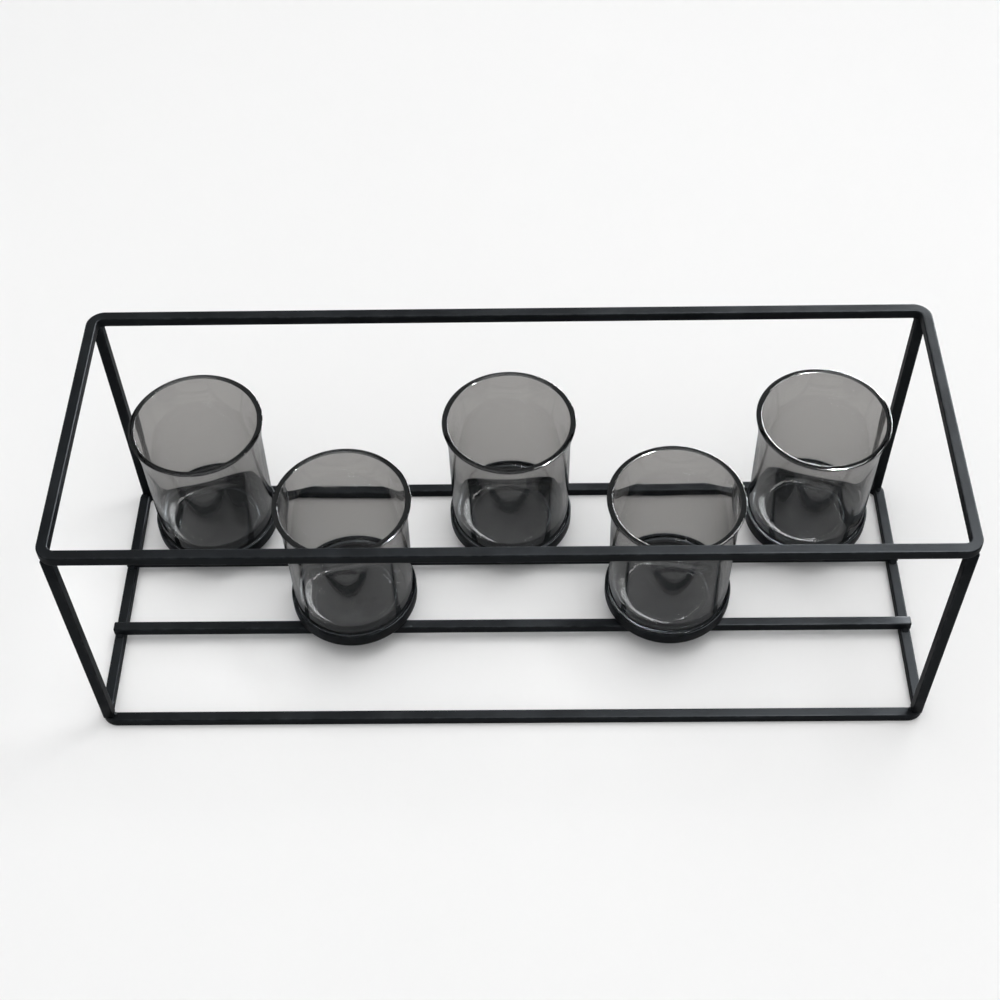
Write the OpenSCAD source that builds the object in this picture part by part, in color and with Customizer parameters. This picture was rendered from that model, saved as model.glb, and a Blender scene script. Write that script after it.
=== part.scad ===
// Votive candle rack: a welded square-bar frame with five dishes, each holding
// a loose glass cup. Three cups stand in the rear row and two in the front row.
// +X runs along the rack, the front faces -Y, and the rack stands on z = 0.

/* [Frame] */
// Length of the rack over the bars
rack_l = 400; // [380:5:440]
// Depth of the frame over the bars
rack_w = 146; // [142:1:160]
// Height of the frame
rack_h = 138; // [130:1:180]
// Side of the square bar
bar = 5; // [4:0.5:6]
// Radius of the bar's four long edges
bar_edge = 0.6; // [0.4:0.1:1]
// Outer radius of the bends at the ring corners
bend_r = 8; // [7:0.5:12]

/* [Rails and rows] */
// Distance between the centre lines of the two support rails
rail_spacing = 42; // [36:1:46]
// Distance between neighbouring cups of the rear row
rear_spacing = 154; // [146:1:160]
// Distance between the two cups of the front row
front_spacing = 158; // [146:1:164]
// Centre of the front row, from the middle of the frame
front_row_y = -3.5; // [-6:0.5:0]
// Centre of the rear row, from the middle of the frame
rear_row_y = 46; // [44:0.5:50]

/* [Dishes] */
// Outer diameter of a dish
dish_d = 63; // [63:0.5:66]
// Height of a dish's upturned wall
dish_h = 8.5; // [7:0.5:10]
// Thickness of the pressed sheet
dish_t = 1.2; // [0.8:0.1:1.4]
// Outer radius between a dish's floor and wall
dish_bend = 2.5; // [2:0.1:3]

/* [Cups] */
// Height of a cup
cup_h = 76; // [70:1:80]
// Diameter over the flared rim
rim_d = 66; // [65:0.5:68]
// Diameter of the body just below the flare
body_d = 60.8; // [60.2:0.2:61.6]
// Diameter of the body just above the rounded heel
base_d = 59.8; // [58:0.2:60]
// Thickness of the glass wall
glass_t = 1.8; // [1.6:0.1:2.4]
// Thickness of the fire-polished rim
rim_t = 2.8; // [2.4:0.1:3.2]
// Thickness of the glass at the middle of the floor
floor_t = 5; // [4:0.5:7]
// Outer radius of the rounded heel
heel_r = 5; // [4:0.5:7]
// Radius of the curve between the inside of the wall and the floor
well_r = 10; // [7:0.5:12]
// Height of the flare, from the neck to the rim
flare_h = 20; // [16:1:24]
// Radius of the rim's two corners
rim_corner = 0.35; // [0.25:0.05:0.45]
// Slope at the sides of the rim's rounded crown, in degrees
crown_slope = 17; // [14:1:20]
// Width of the ring that a cup stands on
foot_w = 3; // [2:0.5:5]

/* [Weld beads] */
// Leg of a weld bead's triangular section
weld_leg = 1.6; // [1:0.1:1.8]
// Length of each tack under a dish
tack_l = 12; // [8:1:16]

/* [Hidden] */
$fn = 96;

coat = [0.09, 0.10, 0.11];
smoke = [0.42, 0.44, 0.47, 0.5];

// The rear cups stand out past the frame, so the frame sits this far forward
// of the middle of the whole object, which is the origin.
rear_reach = rear_row_y + rim_d / 2;
forward = (rear_reach - rack_w / 2) / 2;

top_z = rack_h - bar;                // underside of the top ring
rail_z = bar;                        // underside of the rails
dish_z = rail_z + bar;               // underside of the dishes
cup_z = dish_z + dish_t;             // what the cups stand on
line_r = bend_r - bar / 2;           // bend radius of a ring's centre line
line_x = (rack_l - bar) / 2;         // centre line of a ring's side bars
line_y = (rack_w - bar) / 2;         // centre line of a ring's long bars
post_inset = line_r * (1 - sqrt(0.5)); // puts a post under the middle of a bend
post_x = line_x - post_inset;
post_y = line_y - post_inset;
crown_half = rim_t / 2 - rim_corner; // from the middle of the rim to a corner's centre
crown_r = crown_half / sin(crown_slope) + rim_corner; // radius of the rim's crown
crown_z = cup_h - rim_corner * cos(crown_slope) - crown_r * (1 - cos(crown_slope)); // foot of the crown
flare_steps = 8;
foot_recess_r = base_d / 2 - heel_r - foot_w; // hollow under the cup's foot
foot_recess_h = 0.8;

module in_place() { translate([0, -forward, 0]) children(); }

// Square section with rounded edges, drawn round the origin.
module bar_section() {
    flat = bar - 2 * bar_edge;
    square([bar, flat], center = true);
    square([flat, bar], center = true);
    for (x = [-flat / 2, flat / 2], y = [-flat / 2, flat / 2])
        translate([x, y]) circle(r = bar_edge, $fn = 24);
}

// A straight bar along +X that starts at x = 0.
module bar_along_x(len) { rotate([90, 0, 90]) linear_extrude(len) bar_section(); }

// A ring of one bar with four bends, centred on its middle height.
module bent_ring() {
    straight_x = line_x - line_r;
    straight_y = line_y - line_r;
    for (s = [-1, 1]) {
        translate([-straight_x, s * line_y, 0]) bar_along_x(2 * straight_x);
        translate([s * line_x, -straight_y, 0]) rotate(90) bar_along_x(2 * straight_y);
    }
    for (q = [0 : 3])
        translate([q == 0 || q == 3 ? straight_x : -straight_x, q < 2 ? straight_y : -straight_y, 0])
            rotate(90 * q) rotate_extrude(angle = 90) translate([line_r, 0]) bar_section();
}

module ring_at(z) { color(coat) in_place() translate([0, 0, z + bar / 2]) bent_ring(); }

module post_at(sx, sy) {
    color(coat) in_place() translate([sx * post_x, sy * post_y, bar])
        linear_extrude(top_z - bar) bar_section();
}

// A rail lies across the side bars of the bottom ring, its ends flush with them.
module rail_at(sy) {
    color(coat) in_place() translate([-rack_l / 2, sy * rail_spacing / 2, rail_z + bar / 2])
        bar_along_x(rack_l);
}

// Half outline of a round vessel: flat bottom, straight side, one rounded corner.
module vessel_outline(r, h, corner) {
    square([r - corner, h]);
    translate([0, corner]) square([r, h - corner]);
    translate([r - corner, corner]) circle(r = corner);
}

module dish() {
    rotate_extrude() {
        difference() {
            vessel_outline(dish_d / 2, dish_h - dish_t / 2, dish_bend);
            translate([0, dish_t]) vessel_outline(dish_d / 2 - dish_t, dish_h, dish_bend - dish_t);
        }
        translate([dish_d / 2 - dish_t / 2, dish_h - dish_t / 2]) circle(d = dish_t, $fn = 24);
    }
}

// Place of cup i, counted from -2 at the left: even ones are in the rear row.
function rear(i) = i % 2 == 0;
function cup_x(i) = i * (rear(i) ? rear_spacing : front_spacing) / 2;
function row_y(i) = rear(i) ? rear_row_y : front_row_y;
module at_cup(i, z) { in_place() translate([cup_x(i), row_y(i), z]) children(); }

module dish_at(i) { color(coat) at_cup(i, dish_z) dish(); }

// Half outline of the body above low_z, drawn back from the outside by wall_t up
// to the neck. Above the neck it opens ever faster, to lip_t inside the rim.
module cup_body(wall_t, lip_t, low_z) {
    neck_z = cup_h - flare_h;
    neck_r = body_d / 2 - wall_t;
    opening = rim_d / 2 - lip_t - neck_r;
    flare = [for (i = [0 : flare_steps]) let (t = i / flare_steps)
        [neck_r + opening * t * t, neck_z + (crown_z - neck_z) * t]];
    polygon(concat([[0, low_z], [base_d / 2 - wall_t, low_z]], flare, [[0, crown_z]]));
}

// Half outline of the rim above crown_z: a flat round crown between two small
// corners, all tangent.
module crown() {
    crown_w = 2 * (crown_half + rim_corner * sin(crown_slope));
    translate([rim_d / 2 - rim_t / 2, 0]) {
        intersection() {
            translate([0, cup_h - crown_r]) circle(r = crown_r);
            translate([-crown_w / 2, crown_z - rim_corner / 2]) square([crown_w, 1]);
        }
        for (side = [-1, 1])
            translate([side * crown_half, crown_z]) circle(r = rim_corner, $fn = 48);
    }
}

module cup() {
    rotate_extrude() {
        difference() {
            union() {
                vessel_outline(base_d / 2, heel_r + 1, heel_r);
                cup_body(0, 0, heel_r + 1);
            }
            translate([0, floor_t])
                vessel_outline(base_d / 2 - glass_t, well_r + 1, well_r);
            cup_body(glass_t, rim_t, floor_t + well_r + 1);
            translate([0, crown_z - 0.01]) square([rim_d / 2 - rim_t, 1]);
            square([foot_recess_r, foot_recess_h]);
        }
        crown();
    }
}

module cup_at(i) { color(smoke) at_cup(i, cup_z) cup(); }

// A weld bead with a triangular section, centred on the origin along X, that
// fills the corner between the floor z = 0 and the wall y = 0.
module bead(len) {
    translate([-len / 2, 0, 0]) rotate([90, 0, 90])
        linear_extrude(len) polygon([[0, 0], [weld_leg, 0], [0, weld_leg]]);
}

bead_l = bar - 2 * bar_edge; // a bead that runs across the flat of a bar

// Two beads at the foot and two at the head of each post, on its inner faces.
module post_welds() {
    color(coat) in_place() for (sx = [-1, 1], sy = [-1, 1])
        translate([sx * post_x, sy * post_y, 0]) mirror([sx > 0 ? 1 : 0, 0, 0])
            mirror([0, sy > 0 ? 1 : 0, 0]) {
                for (m = [0, 1]) translate([0, 0, m == 0 ? bar : top_z]) mirror([0, 0, m]) {
                    translate([-post_inset / 2, bar / 2, 0]) bead(bead_l / 2);
                    translate([bar / 2, -post_inset / 2, 0]) rotate(-90) bead(bead_l / 2);
                }
            }
}

// One bead along each side of a rail where it crosses a side bar.
module rail_welds() {
    color(coat) in_place() for (sx = [-1, 1], sy = [-1, 1], m = [0, 1])
        translate([sx * line_x, sy * rail_spacing / 2, rail_z])
            mirror([0, m, 0]) translate([0, bar / 2, 0]) bead(bead_l);
}

// Tacks between the rails and the undersides of the dishes. A rear dish meets
// only the rear rail, and a front dish meets both.
module dish_welds() {
    color(coat) in_place() for (i = [-2 : 2], sy = rear(i) ? [1] : [-1, 1]) {
        side = rear(i) ? 1 : -sy; // the face of the rail nearer the dish's middle
        translate([cup_x(i), sy * rail_spacing / 2, dish_z])
            mirror([0, 0, 1]) mirror([0, side > 0 ? 0 : 1, 0])
                translate([0, bar / 2, 0]) bead(tack_l);
    }
}

ring_at(top_z);  // top_ring
ring_at(0);  // bottom_ring
post_at(-1, -1);  // post_front_left
post_at(1, -1);  // post_front_right
post_at(-1, 1);  // post_rear_left
post_at(1, 1);  // post_rear_right
rail_at(-1);  // front_rail
rail_at(1);  // rear_rail
dish_at(-2);  // dish_rear_left
dish_at(-1);  // dish_front_left
dish_at(0);  // dish_rear_centre
dish_at(1);  // dish_front_right
dish_at(2);  // dish_rear_right
cup_at(-2);  // cup_rear_left
cup_at(-1);  // cup_front_left
cup_at(0);  // cup_rear_centre
cup_at(1);  // cup_front_right
cup_at(2);  // cup_rear_right
post_welds();
rail_welds();
dish_welds();
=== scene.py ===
# %% [markdown]
# # A votive candle rack, finished in Blender
#
# The rack is a light welded frame of square bar. Two rings of bar are joined by four
# posts, two rails cross the bottom ring, and five pressed dishes on the rails each hold
# a loose cup of smoked glass. The sizes come from a finished CAD model, which this
# script loads first and then dresses piece by piece.

# %% Load the CAD model and keep its box
import math
import random

import bpy
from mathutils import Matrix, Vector


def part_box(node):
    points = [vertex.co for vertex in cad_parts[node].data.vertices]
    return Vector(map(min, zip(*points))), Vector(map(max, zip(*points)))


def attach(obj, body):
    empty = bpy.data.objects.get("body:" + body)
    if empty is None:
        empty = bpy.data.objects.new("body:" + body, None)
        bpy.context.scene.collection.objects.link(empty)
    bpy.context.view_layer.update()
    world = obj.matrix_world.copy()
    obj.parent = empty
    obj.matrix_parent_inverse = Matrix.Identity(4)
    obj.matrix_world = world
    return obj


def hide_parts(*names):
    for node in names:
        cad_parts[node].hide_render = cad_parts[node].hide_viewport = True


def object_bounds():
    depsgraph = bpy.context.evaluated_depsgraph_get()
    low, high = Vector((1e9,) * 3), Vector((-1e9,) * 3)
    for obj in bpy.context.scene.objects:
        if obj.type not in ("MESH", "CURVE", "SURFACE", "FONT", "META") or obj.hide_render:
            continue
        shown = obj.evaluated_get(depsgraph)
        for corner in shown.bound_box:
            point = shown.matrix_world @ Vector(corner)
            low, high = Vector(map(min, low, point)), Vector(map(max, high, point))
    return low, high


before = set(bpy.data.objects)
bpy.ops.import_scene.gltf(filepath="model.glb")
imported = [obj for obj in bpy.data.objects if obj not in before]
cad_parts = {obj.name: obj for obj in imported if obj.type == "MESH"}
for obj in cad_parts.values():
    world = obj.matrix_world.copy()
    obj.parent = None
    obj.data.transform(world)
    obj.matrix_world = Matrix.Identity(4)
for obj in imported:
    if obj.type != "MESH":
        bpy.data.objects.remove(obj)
cad_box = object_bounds()
MM = 0.001
print("CAD box in mm:", [[round(v / MM, 2) for v in corner] for corner in cad_box])

# %% [markdown]
# Places and outer sizes are measured on the CAD nodes, so the looks follow if the model
# moves or grows. A box says nothing about a bend or about the thickness of a wall. Those
# few sizes are named values in this script.

# %% Measure the frame's pieces
ring_low, ring_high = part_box("top_ring")
BAR = ring_high.z - ring_low.z
RING_X = ring_high.x - BAR / 2
RING_Y = (ring_high.y - ring_low.y) / 2 - BAR / 2
RING_MID_Y = (ring_high.y + ring_low.y) / 2
BEND = 5.5 * MM  # radius of a ring's corner, along the middle of the bar
EDGE = 0.6 * MM  # radius of the bar's own four edges
print("bar", round(BAR / MM, 2), "mm, ring", round(2 * RING_X / MM, 1), "by", round(2 * RING_Y / MM, 1))

# %% [markdown]
# ## The camera
#
# The camera looks down at the rack from the front, a little right of its middle, at
# about fifty degrees. It could stand far off with a very long lens, but then both rings
# would look the same size. From about eight tenths of a metre the top ring looks clearly
# larger than the bottom one, as it does to somebody standing at the table.

# %% Place the camera
CAMERA_PLACE = (0.0077, -0.4712, 0.6776)
CAMERA_TURN = (38.22, 1.01, 0.18)
camera_data = bpy.data.cameras.new("camera")
camera_data.lens = 57.5
camera_data.sensor_width = 36
camera_data.clip_start = 0.01
camera_data.clip_end = 50
camera = bpy.data.objects.new("camera", camera_data)
camera.location = CAMERA_PLACE
camera.rotation_euler = [math.radians(a) for a in CAMERA_TURN]
bpy.context.scene.collection.objects.link(camera)
bpy.context.scene.camera = camera
print("camera height above the table:", round(camera.location.z, 3), "m")

# %% [markdown]
# ## Turning points into pieces
#
# Each visible piece is a mesh made from lists of points and faces. One helper makes the
# object, gives it its finish, hides the CAD nodes that it stands for and hangs it on the
# body it rides on. One value is kept at each point: whether it lies on a sharp edge. The
# paint uses it, because powder coat is thinnest along edges.

# %% A helper that makes a finished piece
def make_piece(name, points, faces, finish, body, nodes, edges=None):
    mesh = bpy.data.meshes.new(name)
    mesh.from_pydata([tuple(p) for p in points], [], faces)
    mesh.validate()
    edge_layer = mesh.attributes.new("edge", "FLOAT", "POINT")
    edge_layer.data.foreach_set("value", edges or [0.0] * len(points))
    mesh.polygons.foreach_set("use_smooth", [True] * len(mesh.polygons))
    mesh.materials.append(finish)
    piece = bpy.data.objects.new(name, mesh)
    bpy.context.scene.collection.objects.link(piece)
    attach(piece, body)
    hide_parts(*nodes)
    return piece

# %% [markdown]
# ## Shared surface effects
#
# Paint and glass both show the same few things at different strengths: a fine texture,
# wear on edges, dust that has settled from above, and marks from fingers. Each effect
# is one node group with named inputs, so a material only states how much of it there is.

# %% Helpers for building node trees
def new_group(name, inputs, outputs):
    group = bpy.data.node_groups.new(name, "ShaderNodeTree")
    for label, value in inputs:
        socket = group.interface.new_socket(label, in_out="INPUT", socket_type="NodeSocketFloat")
        socket.default_value = value
    for label in outputs:
        group.interface.new_socket(label, in_out="OUTPUT", socket_type="NodeSocketFloat")
    return group, group.nodes.new("NodeGroupInput"), group.nodes.new("NodeGroupOutput")


def maths(tree, operation, a, b=0.0, clamp=False):
    node = tree.nodes.new("ShaderNodeMath")
    node.operation = operation
    node.use_clamp = clamp
    for socket, value in zip(node.inputs, (a, b)):
        if isinstance(value, (int, float)):
            socket.default_value = value
        else:
            tree.links.new(value, socket)
    return node.outputs[0]


def noise(tree, where, scale, detail=2.0, roughness=0.5):
    node = tree.nodes.new("ShaderNodeTexNoise")
    node.inputs["Detail"].default_value = detail
    node.inputs["Roughness"].default_value = roughness
    tree.links.new(where, node.inputs["Vector"])
    if isinstance(scale, (int, float)):
        node.inputs["Scale"].default_value = scale
    else:
        tree.links.new(scale, node.inputs["Scale"])
    return node.outputs["Fac"]


def step_up(tree, value, low, high):
    node = tree.nodes.new("ShaderNodeMapRange")
    node.interpolation_type = "SMOOTHSTEP"
    node.inputs["From Min"].default_value = low
    node.inputs["From Max"].default_value = high
    tree.links.new(value, node.inputs["Value"])
    return node.outputs["Result"]


def own_space(tree):
    return tree.nodes.new("ShaderNodeTexCoord").outputs["Object"]

# %% [markdown]
# Powder coat is sprayed on dry and melted in an oven. It flows a little before it sets,
# which leaves a soft, close-set waviness called orange peel, and patches that are a
# touch thicker or thinner. A painted texture would show seams where the bar turns a
# corner. Noise in the object's own space has none, and two sizes of it give both.

# %% Orange peel of baked powder coat
def build_orange_peel():
    group, inside, outside = new_group(
        "orange_peel", [("Size", 1100.0), ("Fine", 0.35)], ["Height", "Patch"])
    where = own_space(group)
    broad = noise(group, where, inside.outputs["Size"], 2.0, 0.45)
    fine_scale = maths(group, "MULTIPLY", inside.outputs["Size"], 3.7)
    fine = maths(group, "MULTIPLY", noise(group, where, fine_scale, 3.0, 0.6), inside.outputs["Fine"])
    group.links.new(maths(group, "ADD", broad, fine), outside.inputs["Height"])
    patch_scale = maths(group, "MULTIPLY", inside.outputs["Size"], 0.045)
    patch = step_up(group, noise(group, where, patch_scale, 4.0, 0.6), 0.35, 0.68)
    group.links.new(patch, outside.inputs["Patch"])
    return group


orange_peel = build_orange_peel()
print("made", orange_peel.name)

# %% [markdown]
# Edges are where a frame is picked up, stacked and rubbed. A renderer can guess edges
# from the shape, but the guess changes with how finely a mesh is cut. The value stored
# at each point doesn't. A noise breaks the wear up, so that it never reads as an outline
# drawn round the bar.

# %% Wear along the edges
def build_edge_wear():
    group, inside, outside = new_group("edge_wear", [("Amount", 0.5), ("Size", 160.0)], ["Mask"])
    stored = group.nodes.new("ShaderNodeAttribute")
    stored.attribute_name = "edge"
    uneven = noise(group, own_space(group), inside.outputs["Size"], 5.0, 0.65)
    broken = step_up(group, uneven, 0.38, 0.72)
    worn = maths(group, "MULTIPLY", stored.outputs["Fac"], broken)
    mask = maths(group, "MULTIPLY", worn, inside.outputs["Amount"], clamp=True)
    group.links.new(mask, outside.inputs["Mask"])
    return group


edge_wear = build_edge_wear()
print("made", edge_wear.name)

# %% [markdown]
# Dust lies on what faces up. It could be scattered as real specks, but they would be far
# too small to see one by one. The surface normal's upward part gives the place, a fine
# noise gives the grain and a broad one makes it drift.

# %% Dust on upward faces
def build_settled_dust():
    group, inside, outside = new_group("settled_dust", [("Amount", 0.2)], ["Mask"])
    normal = group.nodes.new("ShaderNodeNewGeometry").outputs["Normal"]
    split = group.nodes.new("ShaderNodeSeparateXYZ")
    group.links.new(normal, split.inputs[0])
    upward = step_up(group, split.outputs["Z"], 0.55, 0.98)
    where = own_space(group)
    specks = step_up(group, noise(group, where, 2600.0, 2.0, 0.7), 0.5, 0.75)
    drift = step_up(group, noise(group, where, 45.0, 3.0, 0.6), 0.3, 0.75)
    grain = maths(group, "ADD", maths(group, "MULTIPLY", specks, 0.6), 0.4)
    cover = maths(group, "MULTIPLY", maths(group, "MULTIPLY", upward, grain), drift)
    mask = maths(group, "MULTIPLY", cover, inside.outputs["Amount"], clamp=True)
    group.links.new(mask, outside.inputs["Mask"])
    return group


settled_dust = build_settled_dust()
print("made", settled_dust.name)

# %% [markdown]
# Glass that has been handled carries faint greasy marks. They don't change its colour
# but make the reflection a little milky in soft-edged patches. Drawn finger prints would
# need an image, so a soft patch of noise with a finer noise inside it stands for them.

# %% Finger marks
def build_finger_marks():
    group, inside, outside = new_group("finger_marks", [("Amount", 0.1), ("Size", 60.0)], ["Mask"])
    where = own_space(group)
    patch = step_up(group, noise(group, where, inside.outputs["Size"], 2.0, 0.5), 0.48, 0.7)
    streak = noise(group, where, 900.0, 2.0, 0.6)
    mask = maths(group, "MULTIPLY", maths(group, "MULTIPLY", patch, streak), inside.outputs["Amount"])
    group.links.new(mask, outside.inputs["Mask"])
    return group


finger_marks = build_finger_marks()
print("made", finger_marks.name)

# %% [markdown]
# ## Satin black powder coat
#
# The coat is almost black, with a satin gloss that turns blue-grey where a bar's top
# face mirrors the light overhead. It is a plastic, so a metal shader would be too bright,
# and the plain shader's gloss is turned down further. The node groups only vary the
# colour and roughness around it and lift the surface by a few hundredths of a millimetre.

# %% Helpers that place a group and mix two colours
def place_group(tree, group, **values):
    node = tree.nodes.new("ShaderNodeGroup")
    node.node_tree = group
    for label, value in values.items():
        node.inputs[label].default_value = value
    return node


def mix_colour(tree, mask, first, second):
    node = tree.nodes.new("ShaderNodeMix")
    node.data_type = "RGBA"
    tree.links.new(mask, node.inputs[0])
    for socket, value in ((node.inputs[6], first), (node.inputs[7], second)):
        if isinstance(value, tuple):
            socket.default_value = (*value, 1.0)
        else:
            tree.links.new(value, socket)
    return node.outputs[2]

# %% The powder coat as a function of its values
WORN_COLOUR = (0.050, 0.053, 0.057)
DUST_COLOUR = (0.20, 0.20, 0.195)


def powder_coat(name, dark, light, roughness, peel_size, peel_height, wear, dust):
    material = bpy.data.materials.new(name)
    material.use_nodes = True
    tree = material.node_tree
    shader = tree.nodes["Principled BSDF"]
    peel = place_group(tree, orange_peel, Size=peel_size)
    worn = place_group(tree, edge_wear, Amount=wear).outputs["Mask"]
    dusty = place_group(tree, settled_dust, Amount=dust).outputs["Mask"]
    colour = mix_colour(tree, peel.outputs["Patch"], dark, light)
    colour = mix_colour(tree, worn, colour, WORN_COLOUR)
    colour = mix_colour(tree, dusty, colour, DUST_COLOUR)
    tree.links.new(colour, shader.inputs["Base Color"])
    gloss = maths(tree, "ADD", maths(tree, "MULTIPLY", peel.outputs["Patch"], 0.07), roughness)
    gloss = maths(tree, "SUBTRACT", gloss, maths(tree, "MULTIPLY", worn, 0.12))
    gloss = maths(tree, "ADD", gloss, maths(tree, "MULTIPLY", dusty, 0.35), clamp=True)
    tree.links.new(gloss, shader.inputs["Roughness"])
    bump = tree.nodes.new("ShaderNodeBump")
    bump.inputs["Strength"].default_value = 1.0
    bump.inputs["Distance"].default_value = peel_height
    tree.links.new(peel.outputs["Height"], bump.inputs["Height"])
    tree.links.new(bump.outputs["Normal"], shader.inputs["Normal"])
    shader.inputs["Metallic"].default_value = 0.0
    shader.inputs["IOR"].default_value = 1.5
    shader.inputs["Specular IOR Level"].default_value = 0.10
    shader.inputs["Specular Tint"].default_value = (0.86, 0.93, 1.0, 1.0)
    return material

# %% The coats of the bar, the pressed sheet and the welds
bar_coat = powder_coat("satin_black_bar", (0.0040, 0.0048, 0.0056), (0.0075, 0.0088, 0.0102),
                       0.36, 1100.0, 0.022 * MM, 0.30, 0.04)
dish_coat = powder_coat("satin_black_pressed_sheet", (0.0032, 0.0038, 0.0044), (0.0060, 0.0070, 0.0080),
                        0.33, 900.0, 0.016 * MM, 0.25, 0.03)
weld_coat = powder_coat("satin_black_over_weld", (0.0050, 0.0060, 0.0068), (0.0090, 0.0104, 0.0120),
                        0.31, 1500.0, 0.03 * MM, 0.25, 0.04)
print("coats:", bar_coat.name, dish_coat.name, weld_coat.name)

# %% [markdown]
# ## Smoked glass
#
# Smoke-grey glass gets its tint from metal oxides all through it, so a thick stretch is
# darker than a thin one. That is why the rim and the heel look nearly black while the
# wall stays clear. A tint on the surface would colour thick and thin alike, so the tint
# here is inside: a volume that absorbs light, with hardly any colour on the surface.
# Roughness is nearly nothing, apart from finger marks and a trace of dust.

# %% The smoked glass
def smoked_glass():
    material = bpy.data.materials.new("smoked_glass")
    material.use_nodes = True
    tree = material.node_tree
    shader = tree.nodes["Principled BSDF"]
    marks = place_group(tree, finger_marks, Amount=0.16, Size=55.0).outputs["Mask"]
    dusty = place_group(tree, settled_dust, Amount=0.25).outputs["Mask"]
    colour = mix_colour(tree, dusty, (0.95, 0.94, 0.93), (0.82, 0.82, 0.81))
    tree.links.new(colour, shader.inputs["Base Color"])
    rough = maths(tree, "ADD", maths(tree, "MULTIPLY", marks, 0.6), 0.012)
    rough = maths(tree, "ADD", rough, maths(tree, "MULTIPLY", dusty, 0.12))
    tree.links.new(rough, shader.inputs["Roughness"])
    shader.inputs["Metallic"].default_value = 0.0
    shader.inputs["Transmission Weight"].default_value = 1.0
    shader.inputs["IOR"].default_value = 1.51
    absorb = tree.nodes.new("ShaderNodeVolumeAbsorption")
    absorb.inputs["Color"].default_value = (0.50, 0.52, 0.535, 1.0)
    absorb.inputs["Density"].default_value = 205.0
    output = tree.nodes["Material Output"]
    tree.links.new(absorb.outputs["Volume"], output.inputs["Volume"])
    return material


glass = smoked_glass()
print("made", glass.name)

# %% [markdown]
# ## Square bar
#
# A cube stretched long would give a bar with knife edges, which no drawn bar has. The
# section here is a square with four small arcs, and it is carried along a path of
# stations. Each flat also gets points close to the arcs and one in the middle, so that
# the shading stays flat on the flats and the wear stays at the edges.

# %% The bar's section, with an edge value at each point
QUARTERS = ((1, 1), (-1, 1), (-1, -1), (1, -1))


def bar_section(side, radius, arc_steps=5, shoulder=0.35 * MM):
    inner = side / 2 - radius
    points = []
    for quarter, (sx, sy) in enumerate(QUARTERS):
        turned = math.radians(90 * quarter)
        for step in range(arc_steps + 1):
            a = turned + math.radians(90 * step / arc_steps)
            points.append((sx * inner + radius * math.cos(a), sy * inner + radius * math.sin(a), 1.0))
        along = Vector((-math.cos(turned), -math.sin(turned)))
        last = Vector(points[-1][:2])
        for distance in (shoulder, inner, 2 * inner - shoulder):
            p = last + along * distance
            points.append((p.x, p.y, 0.0))
    return points


SECTION = bar_section(BAR, EDGE)
print("points round the bar:", len(SECTION))

# %% [markdown]
# A station is a place on the path with the two directions of its section. It also says
# how much the section shrinks there, as at a sawn end, and how much it thins towards its
# outer side, as in a bend.

# %% Carry the section along a path
def sweep(stations, closed, points, faces, edges):
    first = len(points)
    count = len(SECTION)
    for place, across, up, shrink, thin in stations:
        for u, v, edge in SECTION:
            keep = 1 - shrink / (BAR / 2)
            outward = (u / (BAR / 2) + 1) / 2
            points.append(place + across * (u * keep) + up * (v * keep * (1 - thin * outward)))
            edges.append(edge)
    rings = len(stations)
    for i in range(rings if closed else rings - 1):
        a = first + i * count
        b = first + ((i + 1) % rings) * count
        for j in range(count):
            k = (j + 1) % count
            faces.append((a + j, a + k, b + k, b + j))
    if not closed:
        faces.append(tuple(first + j for j in reversed(range(count))))
        faces.append(tuple(first + (rings - 1) * count + j for j in range(count)))

# %% [markdown]
# ## The two rings
#
# Each ring is one bar bent cold at four corners. Bending stretches the outside of the
# bar, so it comes out a little thinner there. A curve with a profile would give a bar of
# the same thickness all round, so the stations are worked out here. They follow the
# centre line with long straight stretches and short steps round each bend.

# %% Stations round a ring
def ring_stations(mid_z, bend_steps=14, straight_step=14 * MM, thinning=0.07):
    stations = []
    corner_x = RING_X - BEND
    corner_y = RING_Y - BEND
    up = Vector((0, 0, 1))
    for q, (sx, sy) in enumerate(QUARTERS):
        centre = Vector((sx * corner_x, sy * corner_y + RING_MID_Y, mid_z))
        for step in range(bend_steps + 1):
            share = step / bend_steps
            a = math.radians(90 * q + 90 * share)
            outward = Vector((math.cos(a), math.sin(a), 0))
            thin = thinning * math.sin(math.pi * share)
            stations.append((centre + outward * BEND, outward, up, 0.0, thin))
        nx, ny = QUARTERS[(q + 1) % 4]
        start = stations[-1][0]
        finish = Vector((nx * corner_x, ny * corner_y + RING_MID_Y, mid_z)) + outward * BEND
        pieces = max(2, round((finish - start).length / straight_step))
        for step in range(1, pieces):
            stations.append((start.lerp(finish, step / pieces), outward, up, 0.0, 0.0))
    return stations


print("stations round a ring:", len(ring_stations(0.0)))

# %% Make the rings
def make_ring(node):
    low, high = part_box(node)
    points, faces, edges = [], [], []
    sweep(ring_stations((low.z + high.z) / 2), True, points, faces, edges)
    faces = [tuple(reversed(f)) for f in faces]
    return make_piece(node + "_bar", points, faces, bar_coat, "frame", [node], edges)


for node in ("top_ring", "bottom_ring"):
    ring = make_ring(node)
    print(ring.name, len(ring.data.vertices), "points")

# %% [markdown]
# ## Posts and rails
#
# Both are straight cuts of the same bar. A sawn end has its sharp corner knocked off
# before coating, so the last station is drawn in a little. The posts run half a
# millimetre into the rings, where the weld has closed the joint. The rails lie on top of
# the bottom ring, and their ends stay visible, flush with the ring's sides.

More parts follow.
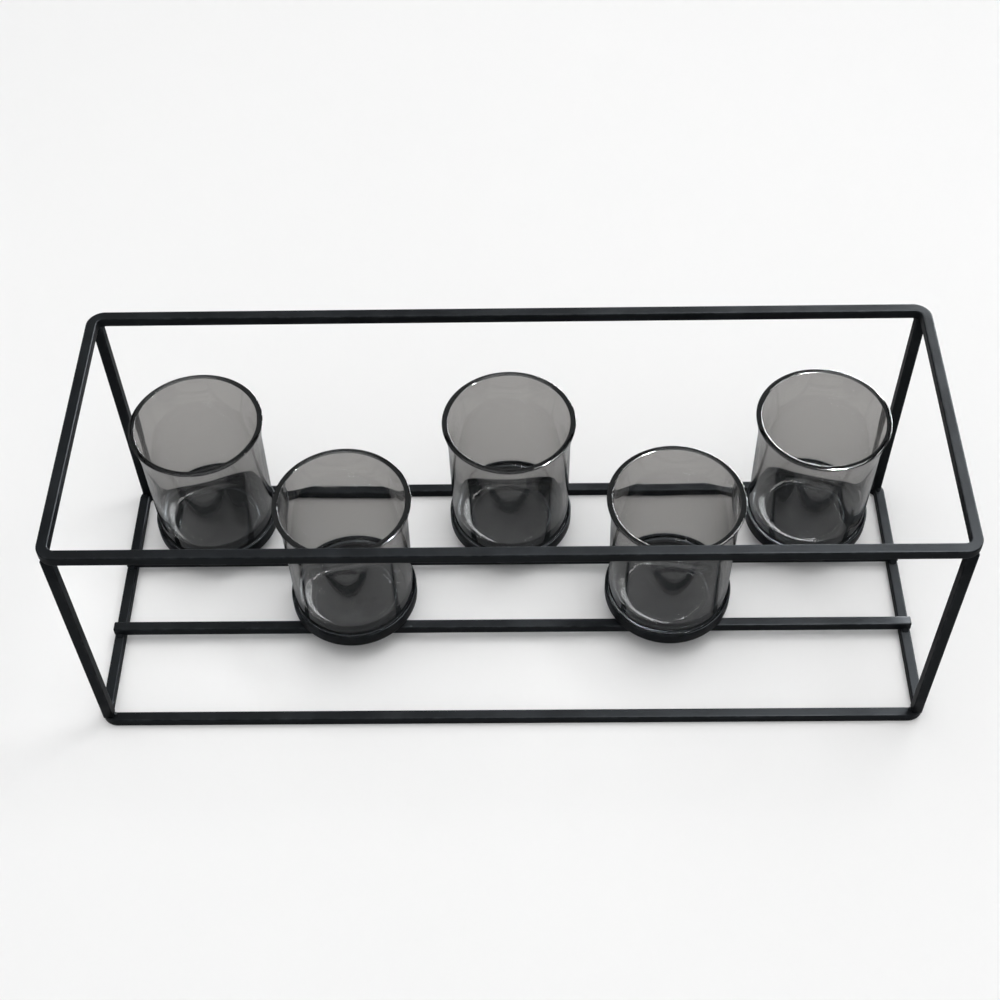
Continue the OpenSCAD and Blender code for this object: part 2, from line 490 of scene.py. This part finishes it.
# %% A straight bar between two points
def straight_bar(name, node, start, finish, sideways, chamfer=0.35 * MM, step=14 * MM):
    along = (finish - start).normalized()
    across = sideways.normalized()
    up = along.cross(across)
    length = (finish - start).length
    pieces = max(2, round(length / step))
    stations = [(start, across, up, chamfer, 0.0)]
    for i in range(pieces + 1):
        distance = chamfer + (length - 2 * chamfer) * i / pieces
        stations.append((start + along * distance, across, up, 0.0, 0.0))
    stations.append((finish, across, up, chamfer, 0.0))
    points, faces, edges = [], [], []
    sweep(stations, False, points, faces, edges)
    return make_piece(name, points, faces, bar_coat, "frame", [node], edges)

# %% Make the posts
INTO_RING = 0.5 * MM
for side in ("front_left", "front_right", "rear_left", "rear_right"):
    low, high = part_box("post_" + side)
    middle = (low + high) / 2
    foot = Vector((middle.x, middle.y, low.z - INTO_RING))
    head = Vector((middle.x, middle.y, high.z + INTO_RING))
    post = straight_bar("post_bar_" + side, "post_" + side, foot, head, Vector((1, 0, 0)))
    print(post.name, round((head - foot).length / MM, 1), "mm")

# %% Make the rails
for node in ("front_rail", "rear_rail"):
    low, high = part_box(node)
    middle = (low + high) / 2
    left = Vector((low.x, middle.y, middle.z))
    right = Vector((high.x, middle.y, middle.z))
    rail = straight_bar(node + "_bar", node, left, right, Vector((0, 1, 0)))
    print(rail.name, round((right - left).length / MM, 1), "mm")

# %% [markdown]
# ## Weld beads
#
# The frame is held together by short beads of weld in the corners between bars. A bead
# is a small ridge with ripples across it, one for each time the molten pool froze, and
# it dies away at both ends. Beads could be sculpted one by one, but a rule with a little
# seeded chance makes every one different. A bulged quarter section is carried along a
# short line, and its size follows the ripples.

# %% One bead in a corner
BEAD_STEP = 0.25 * MM
BEAD_ROOT = 0.15 * MM  # how far a bead reaches into its corner
BEAD_END = 0.12  # size left at a bead's two ends
BEAD_EDGE = 0.4  # how easily a bead's crest wears
BEAD_FILL = 0.97  # keeps a bead inside its CAD box
BEAD_MIDDLE = 0.80  # reach half-way round the section, where 0.71 would be flat


def bead_points(length, leg, origin, along, away, up, seed, points, faces, edges):
    wander = random.Random(seed)
    steps = max(10, round(length / BEAD_STEP))
    ring_first = len(points)
    arc_steps = 8
    phase = wander.random() * math.tau
    for i in range(steps + 1):
        t = 2 * i / steps - 1
        swell = max(BEAD_END, (1 - abs(t) ** 5) ** 0.5)
        ripple = 1 + 0.05 * math.sin(math.tau * i * 0.25 + phase) + 0.03 * (wander.random() - 0.5)
        size = leg * swell * ripple * BEAD_FILL
        place = origin + along * (t * length / 2)
        points.append(place - away * BEAD_ROOT - up * BEAD_ROOT)
        edges.append(0.0)
        for j in range(arc_steps + 1):
            a = math.radians(90 * j / arc_steps)
            reach = size * (BEAD_MIDDLE + (1 - BEAD_MIDDLE) * abs(math.cos(2 * a)))
            points.append(place + away * (reach * math.cos(a)) + up * (reach * math.sin(a)))
            edges.append(BEAD_EDGE if 0 < j < arc_steps else 0.0)
    ring = arc_steps + 2
    for i in range(steps):
        a = ring_first + i * ring
        for j in range(ring):
            k = (j + 1) % ring
            faces.append((a + j, a + k, a + ring + k, a + ring + j))
    faces.append(tuple(ring_first + j for j in reversed(range(ring))))
    faces.append(tuple(ring_first + steps * ring + j for j in range(ring)))

# %% [markdown]
# The CAD model says where each bead lies. A helper finds the separate beads in a weld
# node by grouping points that share faces, and gives the box of each one. Their places
# could be typed in, but then a moved rail would leave its welds behind.

# %% Find the beads in a CAD node
def loose_boxes(node):
    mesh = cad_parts[node].data
    spots = {}
    owner = []
    for vertex in mesh.vertices:
        key = tuple(round(c / (0.01 * MM)) for c in vertex.co)
        owner.append(spots.setdefault(key, len(spots)))
    parent = list(range(len(spots)))

    def root(i):
        while parent[i] != i:
            parent[i] = parent[parent[i]]
            i = parent[i]
        return i

    for polygon in mesh.polygons:
        ids = [root(owner[v]) for v in polygon.vertices]
        for other in ids[1:]:
            parent[root(other)] = root(ids[0])
    boxes = {}
    for vertex in mesh.vertices:
        boxes.setdefault(root(owner[vertex.index]), []).append(vertex.co)
    corners = []
    for group in boxes.values():
        low = Vector([min(c[i] for c in group) for i in range(3)])
        high = Vector([max(c[i] for c in group) for i in range(3)])
        corners.append((low, high))
    return sorted(corners, key=lambda pair: [round(c, 6) for c in pair[0]])


print("beads at the posts:", len(loose_boxes("post_welds")))

# %% [markdown]
# A bead's corner is the one that both bars share. Its long side is the bead's
# direction, and the other two sides are its legs. Which way the legs point follows from
# where the joint is: away from the post or rail, and off the face that the bead lies on.

# %% Make the beads of one weld node
def make_welds(node, wall_of, faces_down):
    points, faces, edges = [], [], []
    boxes = loose_boxes(node)
    for number, (low, high) in enumerate(boxes):
        size = high - low
        middle = (low + high) / 2
        run = 0 if size.x > size.y else 1
        side = 1 - run
        along = Vector((1, 0, 0)) if run == 0 else Vector((0, 1, 0))
        away_sign = 1 if middle[side] > wall_of(middle, side) else -1
        up_sign = -1 if faces_down(middle) else 1
        away = Vector((0, 0, 0))
        away[side] = away_sign
        up = Vector((0, 0, up_sign))
        origin = middle.copy()
        origin[side] = low[side] if away_sign > 0 else high[side]
        origin.z = low.z if up_sign > 0 else high.z
        start = len(faces)
        bead_points(size[run], size.z, origin, along, away, up, number, points, faces, edges)
        if along.cross(away).dot(up) <= 0:
            faces[start:] = [tuple(reversed(f)) for f in faces[start:]]
    piece = make_piece(node + "_beads", points, faces, weld_coat, "frame", [node], edges)
    print(piece.name, len(boxes), "beads")
    return piece

# %% Welds at the posts, the rails and the dishes
def nearest_post(middle, side):
    centre = (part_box("post_front_right")[0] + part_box("post_front_right")[1]) / 2
    if side == 0:
        return math.copysign(abs(centre.x), middle.x)
    return RING_MID_Y + math.copysign(abs(centre.y - RING_MID_Y), middle.y - RING_MID_Y)


def nearest_rail(middle, side):
    rails = [sum(corner.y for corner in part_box(n)) / 2 for n in ("front_rail", "rear_rail")]
    return min(rails, key=lambda y: abs(y - middle.y))


half_height = cad_box[1].z / 2
make_welds("post_welds", nearest_post, lambda middle: middle.z > half_height)
make_welds("rail_welds", nearest_rail, lambda middle: False)
make_welds("dish_welds", nearest_rail, lambda middle: True)

# %% [markdown]
# ## Turned and pressed shapes
#
# Dishes and cups are both round, so both are made by turning an outline about an axis,
# as a lathe or a spinning mould would. The screw modifier does the same, but a loop can
# also make each point a little uneven. The outline is a list of radius and height pairs,
# each with its edge value, that starts and ends on the axis. A helper draws its arcs.

# %% Arcs and turned shapes
ON_AXIS = 1e-7


def arc(centre_r, centre_z, radius, start, end, steps):
    found = []
    for i in range(steps + 1):
        a = math.radians(start + (end - start) * i / steps)
        found.append((centre_r + radius * math.cos(a), centre_z + radius * math.sin(a)))
    return found


def turn(outline, centre, segments, wobble=None):
    points, faces, edges = [], [], []
    for r, z, edge in outline:
        if r < ON_AXIS:
            points.append(Vector((centre.x, centre.y, z)))
            edges.append(edge)
            continue
        for s in range(segments):
            a = math.tau * s / segments
            grown = r + (wobble(r, z, a) if wobble else 0.0)
            east = centre.x + grown * math.cos(a)
            north = centre.y + grown * math.sin(a)
            points.append(Vector((east, north, z)))
            edges.append(edge)
    rings = []
    at = 0
    for r, z, edge in outline:
        size = 1 if r < ON_AXIS else segments
        rings.append((at, size))
        at += size
    for (a, a_size), (b, b_size) in zip(rings, rings[1:]):
        for s in range(segments):
            n = (s + 1) % segments
            if a_size == 1:
                faces.append((a, b + s, b + n))
            elif b_size == 1:
                faces.append((a + s, b, a + n))
            else:
                faces.append((a + s, b + s, b + n, a + n))
    faces = [tuple(reversed(f)) for f in faces]
    return points, faces, edges

# %% [markdown]
# ## The dishes
#
# A dish is pressed from steel sheet a little over a millimetre thick. The press leaves a
# soft bend between floor and wall, a rounded lip, and a shallow step under the floor that
# stiffens it. A plain disc with a rim added would have none of these. The outline goes
# out along the underside, up the wall, over the lip and back in along the inside.

# %% The outline of a dish
SHEET = 1.2 * MM
DISH_BEND = 2.5 * MM
DISH_STEP = 0.25 * MM  # height of the step under the floor
STEP_SHARE = 0.62  # radius of the step, as a share of the dish's


def dish_outline(radius, low, high):
    lip = SHEET / 2
    step_r = radius * STEP_SHARE
    bend_r = radius - DISH_BEND
    under = [(0, low + DISH_STEP), (step_r - 2 * MM, low + DISH_STEP)]
    under += [(step_r - 1 * MM, low + DISH_STEP * 0.8), (step_r, low + DISH_STEP * 0.15)]
    under += [(step_r + 0.8 * MM, low), (bend_r - 1 * MM, low)]
    outside = arc(bend_r, low + DISH_BEND, DISH_BEND, -90, 0, 8)
    rim = arc(radius - lip, high - lip, lip, 0, 180, 10)
    inside = arc(bend_r, low + DISH_BEND, DISH_BEND - SHEET, 0, -90, 6)
    floor = low + SHEET
    over = [(bend_r - 1 * MM, floor), (step_r + 0.8 * MM, floor), (step_r, floor)]
    over += [(step_r * 0.5, floor), (0, floor)]
    flat = [(r, z, 0.0) for r, z in under + outside]
    flat += [(r, z, 1.0) for r, z in rim]
    flat += [(r, z, 0.0) for r, z in inside + over]
    return flat


print("sheet", round(SHEET / MM, 1), "mm thick, bent to", round(DISH_BEND / MM, 1), "mm outside")

# %% Make the dishes
PLACES = ("rear_left", "front_left", "rear_centre", "front_right", "rear_right")
for place in PLACES:
    low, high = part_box("dish_" + place)
    radius = (high.x - low.x) / 2
    points, faces, edges = turn(dish_outline(radius, low.z, high.z), (low + high) / 2, 128)
    dish = make_piece("dish_pressing_" + place, points, faces, dish_coat, "frame",
                      ["dish_" + place], edges)
    print(dish.name, round(2 * radius / MM, 1), "mm across")

# %% [markdown]
# ## The glass cups
#
# The cups are pressed in a mould. Outside, a rounded heel leads into an almost straight
# wall, which curves outwards over its last twenty millimetres and thickens into the rim.
# Inside, the wall meets a thick, slightly dished floor in a wide curve. Under the foot
# there is a shallow hollow, so that the cup stands on a ring.
#
# The rim could be a half round, but that mirrors the lamps in a white line all the way
# along. The real one is flatter: a low crown between two small corners.

# %% Sizes of a cup
CUP_WALL = 1.8 * MM
CUP_RIM = 2.8 * MM  # thickness of the glass at the rim
CUP_BEVEL = 17  # slope of the crown where it meets its corners, in degrees
CUP_CORNER = 0.25 * MM  # radius of the rim's corners
CUP_DISHED = 0.9 * MM  # how much lower the floor's middle is
CUP_HEEL = 5 * MM  # radius of the outer curve at the bottom
CUP_WELL = 10 * MM  # radius of the inner one
CUP_STAND = 3 * MM  # width of the ring that the cup stands on
CUP_PUNT = 0.8 * MM  # depth of the hollow under the foot
CUP_VAULT = 0.2 * MM  # how much deeper the hollow's middle is
FOOT_ROUND = 0.4 * MM  # radius of the stand's inner edge
CUP_FLOOR = 5 * MM
CUP_FLARE = 20 * MM  # height over which the wall curves outwards
BASE_R = 29.9 * MM  # outer radius just above the heel
NECK_R = 30.4 * MM  # outer radius where the flare starts
print("glass", round(CUP_WALL / MM, 1), "mm in the wall,", round(CUP_FLOOR / MM, 1), "mm in the floor")

# %% The outline of a cup
def bend_out(start, finish, steps, power):
    wide = finish[0] - start[0]
    tall = finish[1] - start[1]
    found = []
    for i in range(1, steps + 1):
        t = i / steps
        found.append((start[0] + wide * t ** power, start[1] + tall * t))
    return found


def straight(start, finish, steps):
    return bend_out(start, finish, steps, 1)


def low_dome(radius, edge_z, height, steps):
    return [(radius * i / steps, edge_z + height * (1 - (i / steps) ** 2)) for i in range(steps)]


def cup_outline(rim_r, low, high):
    neck = high - CUP_FLARE
    floor = low + CUP_FLOOR
    foot_out = BASE_R - CUP_HEEL
    foot_in = foot_out - CUP_STAND
    flat_in = BASE_R - CUP_WALL - CUP_WELL
    half = CUP_RIM / 2 - CUP_CORNER
    lean = math.radians(CUP_BEVEL)
    crown_r = half / math.sin(lean) + CUP_CORNER
    corner_z = high - CUP_CORNER * math.cos(lean) - crown_r * (1 - math.cos(lean))
    dome = low_dome(foot_in, low + CUP_PUNT, CUP_VAULT, 8)
    foot = arc(foot_in + FOOT_ROUND, low + FOOT_ROUND, FOOT_ROUND, 180, 270, 5)
    foot += [(foot_out - FOOT_ROUND, low)]
    heel = arc(foot_out, low + CUP_HEEL, CUP_HEEL, -90, 0, 14)
    outside = straight(heel[-1], (NECK_R, neck), 8)
    outside += bend_out(outside[-1], (rim_r, corner_z), 14, 2)
    rim = arc(rim_r - CUP_CORNER, corner_z, CUP_CORNER, 0, 90 - CUP_BEVEL, 6)[1:]
    rim += arc(rim_r - CUP_RIM / 2, high - crown_r, crown_r, 90 - CUP_BEVEL, 90 + CUP_BEVEL, 10)[1:]
    rim += arc(rim_r - CUP_RIM + CUP_CORNER, corner_z, CUP_CORNER, 90 + CUP_BEVEL, 180, 6)[1:-1]
    well = arc(flat_in, floor + CUP_WELL, CUP_WELL, 0, -90, 18)
    inner_neck = (NECK_R - CUP_WALL, neck)
    inside = bend_out(inner_neck, (rim_r - CUP_RIM, corner_z), 14, 2)[::-1]
    inside += [inner_neck] + straight(inner_neck, well[0], 8)
    across = low_dome(flat_in, floor, -CUP_DISHED, 10)[::-1]
    outline = dome + foot + heel + outside + rim + inside + well[1:] + across
    return [(r, z, 0.0) for r, z in outline]

# %% [markdown]
# Hot glass is never quite true, and a few hundredths of a millimetre of unevenness is
# what makes its reflections come alive. A noise in the material could bend them too, but
# then the glass itself would stay perfect. A few waves round the cup move its points
# inwards, each with its own seeded size and place.

# %% The unevenness of a cup
FADE_R = 20 * MM  # inside this radius the waves die away
INNER_SHIFT = 900  # keeps the inner and outer walls from waving together


def mould_wobble(seed):
    wander = random.Random(seed)
    waves = [(n, wander.uniform(0.004, 0.014) * MM, wander.random() * math.tau, wander.uniform(40, 160))
             for n in (2, 3, 5, 7, 11)]

    def wobble(r, z, a):
        fade = min(1.0, r / FADE_R)
        inner = INNER_SHIFT * r
        return -fade * sum(size * (1 + math.sin(n * a + phase + z * pitch + inner)) / 2
                           for n, size, phase, pitch in waves)
    return wobble

# %% Make the cups
LIFT = 0.03 * MM  # keeps a cup's foot just off its dish
SIDE_ROOM = 0.02 * MM
TOP_ROOM = 0.01 * MM
FIRST_SEED = 20
for number, place in enumerate(PLACES):
    low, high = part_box("cup_" + place)
    outline = cup_outline((high.x - low.x) / 2 - SIDE_ROOM, low.z + LIFT, high.z - TOP_ROOM)
    points, faces, edges = turn(outline, (low + high) / 2, 160, mould_wobble(FIRST_SEED + number))
    cup = make_piece("cup_glass_" + place, points, faces, glass, "cup_" + place,
                     ["cup_" + place], edges)
    print(cup.name, len(cup.data.vertices), "points")

# %% [markdown]
# ## Floor and light
#
# The rack stands on a plain, pale floor that runs out of sight. Black bars and smoked
# glass mirror and tint whatever is around them, so a bright floor would wash them out.
# Dimming the lamps would grey the whole picture, so shade is painted into the floor's colour: it
# is painted mid-grey in a mirror, a lighter grey through glass, and almost white seen directly.

# %% The floor
FLOOR_REACH = 4.0
FLOOR_Z = -0.05 * MM
FLOOR_PAINTED_SHADE_IN_MIRROR = (0.29, 0.295, 0.30)
FLOOR_PAINTED_SHADE_THROUGH_GLASS = (0.405, 0.395, 0.385)


def make_floor():
    mesh = bpy.data.meshes.new("floor")
    corners = [(FLOOR_REACH * sx, FLOOR_REACH * sy, FLOOR_Z) for sx, sy in QUARTERS]
    mesh.from_pydata(corners, [], [(2, 3, 0, 1)])
    material = bpy.data.materials.new("pale_floor")
    material.use_nodes = True
    tree = material.node_tree
    shader = tree.nodes["Principled BSDF"]
    cloudy = noise(tree, own_space(tree), 3.0, 3.0, 0.5)
    colour = mix_colour(tree, cloudy, (0.86, 0.86, 0.86), (0.89, 0.89, 0.89))
    ray = tree.nodes.new("ShaderNodeLightPath").outputs
    # Painted shade: the same evenly lit floor turns mid-grey in mirrors and a lighter grey through
    # glass.
    mirrored = maths(tree, "MULTIPLY", ray["Is Glossy Ray"], ray["Is Reflection Ray"])
    colour = mix_colour(tree, mirrored, colour, FLOOR_PAINTED_SHADE_IN_MIRROR)
    colour = mix_colour(tree, ray["Is Transmission Ray"], colour, FLOOR_PAINTED_SHADE_THROUGH_GLASS)
    tree.links.new(colour, shader.inputs["Base Color"])
    shader.inputs["Roughness"].default_value = 0.85
    shader.inputs["Specular IOR Level"].default_value = 0.2
    mesh.materials.append(material)
    floor = bpy.data.objects.new("floor", mesh)
    bpy.context.scene.collection.objects.link(floor)
    return floor


print("made", make_floor().name)

# %% [markdown]
# The main light is a small soft panel high on the right, a little behind the rack. Just
# under it is a narrower and far brighter one, which lights no matt surface and draws the
# short white streaks on the rims. A tall pane beside them adds a softer one. A wide panel
# overhead and a very large fill panel keep the shadows pale. The fill is left out of
# mirrors and glass, where its plain square shape would give it away.

# %% The lights
def soft_panel(name, place, aim, width, height, radiance, gloss_only=False):
    light = bpy.data.lights.new(name, "AREA")
    light.shape = "RECTANGLE"
    light.size = width
    light.size_y = height
    light.energy = radiance * math.pi * width * height
    lamp = bpy.data.objects.new(name, light)
    lamp.location = place
    lamp.rotation_euler = (Vector(aim) - Vector(place)).to_track_quat("-Z", "Y").to_euler()
    lamp.visible_diffuse = not gloss_only
    bpy.context.scene.collection.objects.link(lamp)
    print(name, round(light.energy, 1), "W")
    return lamp


MIDDLE = (0, 0, 0.05)
WARM_WHITE = (1.0, 0.965, 0.925)
soft_panel("main_panel", (0.62, 0.36, 1.90), MIDDLE, 0.6, 0.4, 7)
soft_panel("overhead_panel", (-0.1, -0.1, 2.3), MIDDLE, 2.4, 1.6, 0.9)
fill = soft_panel("fill_panel", (0.0, 0.0, 2.6), MIDDLE, 5.0, 5.0, 0.60)
fill.visible_glossy = False
fill.visible_transmission = False
fill.data.color = WARM_WHITE
soft_panel("lamp_glint", (0.62, 0.36, 1.88), MIDDLE, 0.5, 0.16, 300, gloss_only=True)
soft_panel("high_pane", (0.80, 0.62, 1.62), MIDDLE, 0.30, 0.60, 12, gloss_only=True)

# %% [markdown]
# The room itself is dim and even. Two windows behind the right-hand side are glows with
# soft edges. Panels would show as hard white shapes in the glass. Only glossy rays see
# the glows, as pale crescents in the curve between a cup's wall and its floor. Past the
# floor's end the camera sees a somewhat lighter backdrop than the room that lights it.

# %% The surroundings
ROOM_LEVEL = 0.48
BACKDROP_EXTRA = 0.22
COOL_WHITE = (0.95, 0.975, 1.0, 1)


def glow(tree, direction, spread, strength):
    aim = tree.nodes.new("ShaderNodeVectorMath")
    aim.operation = "DOT_PRODUCT"
    tree.links.new(tree.nodes.new("ShaderNodeTexCoord").outputs["Generated"], aim.inputs[0])
    aim.inputs[1].default_value = Vector(direction).normalized()
    near = step_up(tree, aim.outputs["Value"], math.cos(math.radians(spread)), 1.0)
    return maths(tree, "MULTIPLY", near, strength)


world = bpy.data.worlds.new("dim_room")
world.use_nodes = True
tree = world.node_tree
sky = tree.nodes["Background"]
sky.inputs["Color"].default_value = COOL_WHITE
window = glow(tree, (0.66, 0.65, 0.38), 21, 28.0)
side_window = glow(tree, (0.45, 0.88, 0.12), 24, 34.0)
rays = tree.nodes.new("ShaderNodeLightPath").outputs
level = maths(tree, "MULTIPLY", maths(tree, "ADD", window, side_window), rays["Is Glossy Ray"])
lighter = maths(tree, "MULTIPLY", rays["Is Camera Ray"], BACKDROP_EXTRA)
backdrop = maths(tree, "ADD", lighter, ROOM_LEVEL)
tree.links.new(maths(tree, "ADD", level, backdrop), sky.inputs["Strength"])
bpy.context.scene.world = world
bpy.context.scene.view_settings.view_transform = "Standard"
print("surroundings:", world.name)
